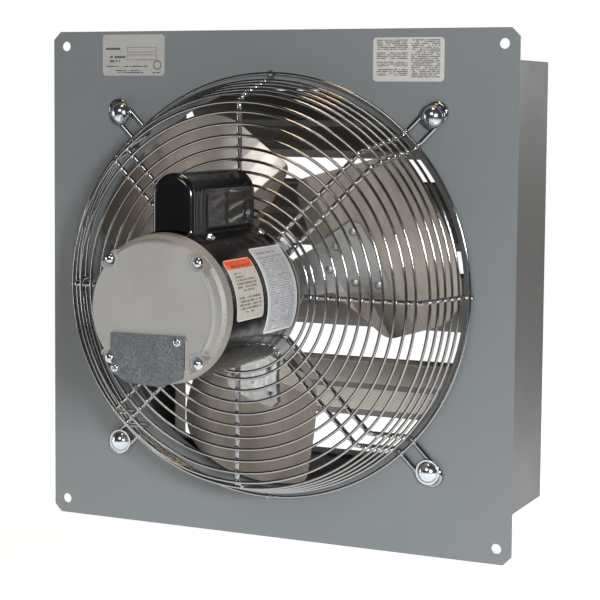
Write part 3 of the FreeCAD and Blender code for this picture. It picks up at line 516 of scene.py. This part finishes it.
# ---------------------------------------------------------------- finishes of the CAD nodes
finishes = {
    "panel_paint": sheet_paint("panel_paint", (0.192, 0.212, 0.222), 0.42),
    "box_paint": sheet_paint("box_paint", (0.165, 0.165, 0.159), 0.42),
    "guard_chrome": chrome(),
    "motor_black": black_enamel(),
    "cast_bell": cast_aluminium(),
    "galvanised": galvanised(),
    "zinc": metal("zinc", (0.78, 0.82, 0.88), (0.62, 0.66, 0.72), 0.17, 400.0),
    "blade_aluminium": rolled_sheet("blade_aluminium", 1.0),
    "spider_steel": metal("spider_steel", (0.53, 0.54, 0.53), (0.40, 0.41, 0.405), 0.44, 300.0),
    "shutter_aluminium": metal("shutter_aluminium", (0.25, 0.225, 0.20), (0.19, 0.17, 0.155), 0.36, 260.0,
                               (0.05, 1.0, 1.0), 0.04),
    "shaft_steel": metal("shaft_steel", (0.60, 0.60, 0.61), (0.44, 0.44, 0.45), 0.22, 500.0),
    "electrical_steel": laminations(),
    "copper": enamelled_copper(),
    "bearing_steel": metal("bearing_steel", (0.70, 0.70, 0.71), (0.60, 0.60, 0.61), 0.12, 500.0),
    "nylon": moulded("nylon", (0.76, 0.74, 0.66), (0.70, 0.67, 0.58), 0.42, 700.0),
    "board": moulded("board", (0.055, 0.040, 0.030), (0.040, 0.028, 0.020), 0.50, 800.0),
    "foam": moulded("foam", (0.050, 0.050, 0.052), (0.018, 0.018, 0.020), 0.85, 900.0),
    "can": metal("can", (0.62, 0.62, 0.62), (0.50, 0.50, 0.50), 0.28, 300.0, (1.0, 0.05, 1.0)),
    "label_cream": moulded("label_cream", (0.62, 0.58, 0.50), (0.56, 0.52, 0.45), 0.34, 500.0),
    "label_silver": moulded("label_silver", (0.52, 0.52, 0.54), (0.44, 0.44, 0.46), 0.34, 900.0),
}


def finish_nodes():
    """Gives every CAD node the finish of its slot, then another finish to a few of them."""
    for node in nodes.values():
        for place in node.material_slots:
            place.material = finishes[place.material.name]
    special = {f"shutter_blade_{k}": louvre_sheet(k) for k in (1, 2, 3, 4)}
    # painted light and shade: a lighter copy of the blade finish for the right blade, a darker one for the
    # top blade
    special["propeller_blade_1"] = rolled_sheet("blade_aluminium_painted_light", 1.4)
    special["propeller_blade_2"] = rolled_sheet("blade_aluminium_painted_shade", 0.8)
    special["propeller_rivets"] = finishes["spider_steel"]
    for name, finish in special.items():
        nodes[name].material_slots[0].material = finish


# ---------------------------------------------------------------- mesh building
def mesh_piece(name, bm, finish, slot, body, *stands_for):
    """Adds a mesh to the object as a piece that moves with a CAD body and stands for CAD nodes."""
    sharp_from = 42
    bmesh.ops.recalc_face_normals(bm, faces=bm.faces)
    mesh = bpy.data.meshes.new(name)
    bm.to_mesh(mesh)
    bm.free()
    mesh.shade_smooth()
    mesh.set_sharp_from_angle(angle=math.radians(sharp_from))
    mesh.materials.append(finish)
    made = bpy.data.objects.new(name, mesh)
    bpy.context.scene.collection.objects.link(made)
    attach(made, body)
    if stands_for:
        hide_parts(*stands_for)


def sheet_grid(bm, rows, columns, place):
    """Grid of quads whose corners come from place(i, j)."""
    corners = [[bm.verts.new(place(i, j)) for j in range(columns)] for i in range(rows)]
    for above, below in zip(corners, corners[1:]):
        for k in range(columns - 1):
            bm.faces.new((above[k], above[k + 1], below[k + 1], below[k]))
    return corners


def close_between(bm, row_a, row_b):
    """Wall between two rows of corners."""
    for k in range(len(row_a) - 1):
        bm.faces.new((row_a[k], row_a[k + 1], row_b[k + 1], row_b[k]))


def rim_of(rows):
    """Corners round the edge of a grid, back to the first one."""
    last, first = rows[-1], rows[0]
    return [row[-1] for row in rows] + last[-2::-1] + [row[0] for row in rows[-2::-1]] + first[1:]


def rounded_sheet(length, width, corner, thickness, place, across=24):
    """Thin sheet with rounded corners; place(s, w, lift) bends it to where it lies."""
    steps = 40
    ends = [corner * (1 - math.cos(math.radians(a))) for a in range(0, 91, 15)]
    middle = [corner + (length - 2 * corner) * k / steps for k in range(1, steps)]
    stations = ends + middle + [length - e for e in reversed(ends)]
    bm = bmesh.new()
    rims = []
    for lift in (0.0, thickness):
        def corner_at(i, j):
            s = stations[i]
            near = min(s, length - s, corner)
            half = width / 2 - corner + math.sqrt(max(0.0, corner ** 2 - (corner - near) ** 2))
            return place(s, half * (2 * j / across - 1), lift)
        rims.append(rim_of(sheet_grid(bm, len(stations), across + 1, corner_at)))
    close_between(bm, *rims)
    return bm


# ---------------------------------------------------------------- labels
def bent_label(name, node, shell_place, finish, slot):
    """Label on the motor shell, in place of its CAD node."""
    front, rear, top, bottom = shell_place
    length = math.radians(top - bottom) * SHELL_R

    def place(s, w, lift):
        angle = math.radians(top) - s / SHELL_R
        radius = SHELL_R + lift
        return Vector((radius * math.cos(angle), (front + rear) / 2 + w, radius * math.sin(angle)))
    bm = rounded_sheet(length, rear - front, LABEL_CORNER, LABEL_T, place)
    mesh_piece(name, bm, finish, slot, "fan_frame", node)


def panel_label(name, node, finish):
    """Label on the panel, in place of its CAD node."""
    low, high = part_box(node)

    def place(s, w, lift):
        return Vector((low.x + s, high.y - lift, (low.z + high.z) / 2 + w))
    bm = rounded_sheet(high.x - low.x, high.z - low.z, LABEL_CORNER, high.y - low.y, place)
    mesh_piece(name, bm, finish, "label_silver", "fan_frame", node)


# ---------------------------------------------------------------- capacitor cover
def smooth(value, start, end):
    """0 before start, 1 after end, and an even curve between them."""
    t = min(1.0, max(0.0, (value - start) / (end - start)))
    return t * t * (3 - 2 * t)


def plateau(value, start, full_from, full_to, end):
    """1 from full_from to full_to, and smoothly down to 0 at start and end."""
    return smooth(value, start, full_from) * (1 - smooth(value, full_to, end))


def hump(value, centre, width):
    return math.exp(-((value - centre) / width) ** 2)


def pressing(y, z):
    """How far the side of the capacitor cover stands out at (y, z), in millimetres."""
    panel = plateau(y, *PANEL_Y) * plateau(z, *PANEL_Z)
    out = -PANEL_DEPTH * panel
    for groove in GROOVES_Y:
        out -= GROOVE_DEPTH * hump(y, groove, GROOVE_WIDTH) * plateau(z, *GROOVE_Z)
    for crease in CREASES_Y:
        out -= CREASE_DEPTH * hump(y, crease, CREASE_WIDTH) * panel
    for bulge in BULGES_Z:
        middle = bulge + BULGE_LEAN * (y - BULGE_LEAN_FROM_Y)
        out += BULGE_HEIGHT * hump(z, middle, BULGE_WIDTH) * smooth(y, *BULGE_START_Y) * panel
    return out


def cover_outline():
    """Points of the cover's section, (x, z), from its left foot over the arch to its right foot."""
    side_steps, arch_steps = 22, 36
    side = [COVER_FOOT_Z + (COVER_SPRING_Z - COVER_FOOT_Z) * k / side_steps for k in range(side_steps)]
    arch = [math.pi - math.pi * k / arch_steps for k in range(arch_steps + 1)]
    points = [(-COVER_HALF, z) for z in side]
    points += [(COVER_HALF * math.cos(a), COVER_SPRING_Z + COVER_HALF * math.sin(a)) for a in arch]
    return points + [(COVER_HALF, z) for z in reversed(side)]


def cover_stations():
    """Sections along the cover: their y, and how far the rounded ends draw each one in."""
    steps = 84
    arcs = [math.radians(9 * k) for k in range(11)]
    ends = [(COVER_ROUNDING * (1 - math.cos(a)), COVER_ROUNDING * (1 - math.sin(a))) for a in arcs]
    straight = COVER_REAR_Y - COVER_FRONT_Y - 2 * COVER_ROUNDING
    body = [(COVER_FRONT_Y + COVER_ROUNDING + straight * k / steps, 0.0) for k in range(1, steps)]
    front = [(COVER_FRONT_Y + reach, drawn_in) for reach, drawn_in in ends]
    return front + body + [(COVER_REAR_Y - reach, drawn_in) for reach, drawn_in in reversed(ends)]


def pressed_hood(bm):
    """The cover's arched sides with their pressings, its two ends and its closed underside."""
    stations = cover_stations()
    outline = cover_outline()

    def corner(i, j):
        y, drawn_in = stations[i]
        x, z = outline[j]
        out = pressing(y, z) - drawn_in
        foot = FOOT_FLARE * (1 - smooth(math.hypot(x, z), *FLARE_R))
        outwards = Vector((x, 0.0, max(z - COVER_SPRING_Z, 0.0))).normalized()
        return Vector((x + outwards.x * (out + foot), y, z + outwards.z * out)) / 1000
    rows = sheet_grid(bm, len(stations), len(outline), corner)
    bm.faces.new(rows[0])
    bm.faces.new(rows[-1])
    close_between(bm, [row[0] for row in rows], [row[-1] for row in rows])


def saddle(bm):
    """Flange that follows the shell, with rounded outer corners."""
    inner, outer = SADDLE_RADII
    length = math.radians(180 - 2 * SADDLE_EDGE) * outer
    width = COVER_REAR_Y - COVER_FRONT_Y
    middle_y = (COVER_FRONT_Y + COVER_REAR_Y) / 2

    def place(s, w, lift):
        angle = math.radians(180 - SADDLE_EDGE) - s / outer
        radius = inner + lift
        return Vector((radius * math.cos(angle), middle_y + w, radius * math.sin(angle))) / 1000
    made = rounded_sheet(length, width, SADDLE_CORNER, outer - inner, place, 4)
    mesh = bpy.data.meshes.new("saddle")
    made.to_mesh(mesh)
    made.free()
    bm.from_mesh(mesh)
    bpy.data.meshes.remove(mesh)


def capacitor_hood():
    bm = bmesh.new()
    pressed_hood(bm)
    saddle(bm)
    mesh_piece("capacitor_hood", bm, finishes["motor_black"], "motor_black", "fan_frame", "capacitor_cover")


# ---------------------------------------------------------------- screw heads
def cross_head(bm, seat, axis, radius, height, turn):
    """Pan head with a cross recess, standing on seat and facing along axis."""
    around, steps = 48, 18
    arm_half_width, arm_reach, recess = 0.11 * radius, 0.58 * radius, 0.55 * height
    axis = axis.normalized()
    side = axis.orthogonal().normalized()
    side.rotate(Matrix.Rotation(turn, 3, axis))
    other = axis.cross(side)
    rings = []
    for k in range(steps + 1):
        r = radius * k / steps
        ring = []
        for j in range(around):
            angle = 2 * math.pi * j / around
            x, y = r * math.cos(angle), r * math.sin(angle)
            level = height * math.sqrt(max(0.0, 1 - (r / radius) ** 4))
            in_recess = min(abs(x), abs(y)) < arm_half_width and r < arm_reach
            level -= recess if in_recess else 0.0
            ring.append(bm.verts.new(seat + side * x + other * y + axis * level))
        rings.append(ring)
    for inner, outer in zip(rings, rings[1:]):
        for j in range(around):
            bm.faces.new((inner[j], inner[j - 1], outer[j - 1], outer[j]))
    bm.faces.new(rings[-1])
    bmesh.ops.remove_doubles(bm, verts=rings[0], dist=1e-7)


def wiring_cover_heads():
    bm = bmesh.new()
    for x, z, turn in WIRING_SCREWS:
        cross_head(bm, Vector((x, WIRING_COVER_Y, z)), Vector((0, -1, 0)), *WIRING_SCREW, turn)
    mesh_piece("wiring_cover_heads", bm, finishes["zinc"], "zinc", "fan_frame", "wiring_cover_screws")


def saddle_screw_heads():
    bm = bmesh.new()
    for angle, y, turn in SADDLE_SCREWS:
        out = Vector((math.cos(math.radians(angle)), 0.0, math.sin(math.radians(angle))))
        cross_head(bm, out * SADDLE_FACE_R + Vector((0, y, 0)), out, *SADDLE_SCREW, turn)
    mesh_piece("saddle_screw_heads", bm, finishes["zinc"], "zinc", "fan_frame", "capacitor_cover_screws")


# ---------------------------------------------------------------- guard welds
def guard_rings():
    """Each ring's radius and y, and how far inwards and backwards from it its welds lie."""
    rings = [(radius, FACE_RINGS_Y, *FLAT_WELD) for radius in FACE_RING_RADII]
    rings.append((*CORNER_RING, *FLAT_WELD))
    slope = (SIDE_FOOT[0] - SIDE_TOP[0]) / (SIDE_FOOT[1] - SIDE_TOP[1])
    lean = math.atan(slope)
    for height in SIDE_RING_HEIGHTS:
        wire_r = SIDE_TOP[0] + slope * (height - SIDE_TOP[1])
        rings.append((wire_r + SIDE_RING_GAP * math.cos(lean), height - SIDE_RING_SETBACK, *SIDE_WELD))
    return rings + [(*FOOT_RING, *FLAT_WELD)]


def weld_beads():
    """Small flattened beads where every ring crosses the radial wires and the hairpin arms."""
    bm = bmesh.new()
    stretch = Matrix.Diagonal((*BEAD_STRETCH, 1.0))
    for angle in range(0, 360, 45):
        turn = Matrix.Rotation(math.radians(angle), 4, (0, -1, 0))
        wire_offsets = (-HAIRPIN_HALF_GAP, HAIRPIN_HALF_GAP) if angle % 90 else (0.0,)
        for offset in wire_offsets:
            for radius, y, inwards, backwards in guard_rings():
                along = math.sqrt(radius ** 2 - offset ** 2)
                weld = Vector((along - inwards, y + backwards, offset)) / 1000
                bmesh.ops.create_icosphere(bm, subdivisions=3, radius=BEAD_R / 1000,
                                           matrix=turn @ Matrix.Translation(weld) @ stretch)
    mesh_piece("weld_beads", bm, finishes["guard_chrome"], "guard_chrome", "fan_frame")


# ---------------------------------------------------------------- studio
def floor():
    """A pale round sheet that fades out into the white surroundings."""
    radius, gap = 1.6, 0.0005
    bpy.ops.mesh.primitive_circle_add(vertices=96, radius=radius, fill_type="NGON",
                                      location=(0.0, 0.0, cad_size[0].z - gap))
    made = bpy.context.object
    made.name = "floor"
    s = Surface("floor_paper")
    s.set(base_color=s.mix(s.noise(3.0), (0.90, 0.90, 0.90), (0.93, 0.93, 0.93)), roughness=0.8,
          alpha=s.remap(s.length(s.x, s.y), 0.35, 1.5, 1.0, 0.0),
          emission_color=(1.0, 1.0, 1.0), emission_strength=0.66)
    made.data.materials.append(s.material)


def softbox(name, place, target, width, height, watts, colour=(1.0, 1.0, 1.0)):
    """Rectangular lamp at place that faces target."""
    light = bpy.data.lights.new(name, "AREA")
    light.shape = "RECTANGLE"
    light.size = width
    light.size_y = height
    light.energy = watts
    light.color = colour
    made = bpy.data.objects.new(name, light)
    bpy.context.scene.collection.objects.link(made)
    made.location = place
    made.rotation_euler = (Vector(target) - Vector(place)).to_track_quat("-Z", "Y").to_euler()


def surroundings():
    """White for the camera, and a dim grey room for everything else."""
    world = bpy.data.worlds.new("studio")
    bpy.context.scene.world = world
    world.use_nodes = True
    tree = world.node_tree
    seen = tree.nodes.new("ShaderNodeLightPath")
    blend = tree.nodes.new("ShaderNodeMix")
    blend.data_type = "RGBA"
    blend.inputs[6].default_value = (0.045, 0.045, 0.048, 1.0)
    blend.inputs[7].default_value = (1.0, 1.0, 1.0, 1.0)
    tree.links.new(seen.outputs["Is Camera Ray"], blend.inputs[0])
    tree.links.new(blend.outputs[2], tree.nodes["Background"].inputs["Color"])


def studio_light():
    """A small key light that glints on the wires, and dimmer boxes all round it."""
    softbox("key", (1.70, -2.10, 0.55), (0, 0, 0), 0.46, 0.46, 51.0, (0.97, 0.985, 1.0))
    softbox("left wall", (-3.0, -0.7, -0.1), (0, 0, 0), 0.8, 1.2, 15.0)
    softbox("right strip", (2.8, 0.6, 0.5), (0.1, -0.1, 0.05), 0.35, 1.8, 6.0)
    softbox("ceiling", (0.0, -0.6, 2.6), (0, 0, 0), 0.5, 0.5, 9.0, (1.0, 0.62, 0.26))
    softbox("front top", (-0.2, -3.2, 1.6), (0, 0, 0), 1.1, 0.9, 17.0, (1.0, 0.95, 0.88))
    softbox("back", (0.2, 2.4, 0.8), (0, 0, 0), 1.8, 1.4, 22.0)
    softbox("top fill", (0.0, 1.3, 2.3), (0.0, 0.1, 0.2), 0.8, 0.8, 16.0)


def camera():
    """Looks at the motor side from the right and a little above."""
    place = Vector((0.7793, -1.6213, 0.1889))
    yaw, pitch, roll = (math.radians(a) for a in (24.758, -4.481, 0.476))
    forward = Vector((-math.sin(yaw) * math.cos(pitch), math.cos(yaw) * math.cos(pitch), math.sin(pitch)))
    right = Vector((math.cos(yaw), math.sin(yaw), 0.0))
    up = right.cross(forward)
    across = right * math.cos(roll) + up * math.sin(roll)
    upward = up * math.cos(roll) - right * math.sin(roll)
    data = bpy.data.cameras.new("camera")
    data.sensor_width = 36.0
    data.lens = 104.83
    data.shift_y = -0.10
    made = bpy.data.objects.new("camera", data)
    bpy.context.scene.collection.objects.link(made)
    turn = Matrix((across, upward, -forward)).transposed()
    made.matrix_world = Matrix.Translation(place) @ turn.to_4x4()
    bpy.context.scene.camera = made


# ---------------------------------------------------------------- the object and its scene
finish_nodes()
capacitor_hood()
wiring_cover_heads()
weld_beads()
saddle_screw_heads()
bent_label("wiring_label_print", "motor_wiring_label", WIRING_LABEL,
           shell_print("wiring_print", WIRING_LABEL, (0.56, 0.535, 0.465), draw_wiring, 0.22), "label_cream")
bent_label("data_label_print", "motor_data_label", DATA_LABEL,
           shell_print("data_print", DATA_LABEL, (0.58, 0.59, 0.62), draw_data, 0.26), "label_silver")
panel_label("rating_label_print", "panel_rating_label",
            flat_print("rating_print", "panel_rating_label", (0.42, 0.42, 0.405), draw_rating, 0.40))
panel_label("notice_label_print", "panel_notice_label",
            flat_print("notice_print", "panel_notice_label", (0.56, 0.555, 0.53), draw_notice, 0.40))
floor()
surroundings()
studio_light()
camera()
bpy.context.scene.view_settings.view_transform = "Standard"
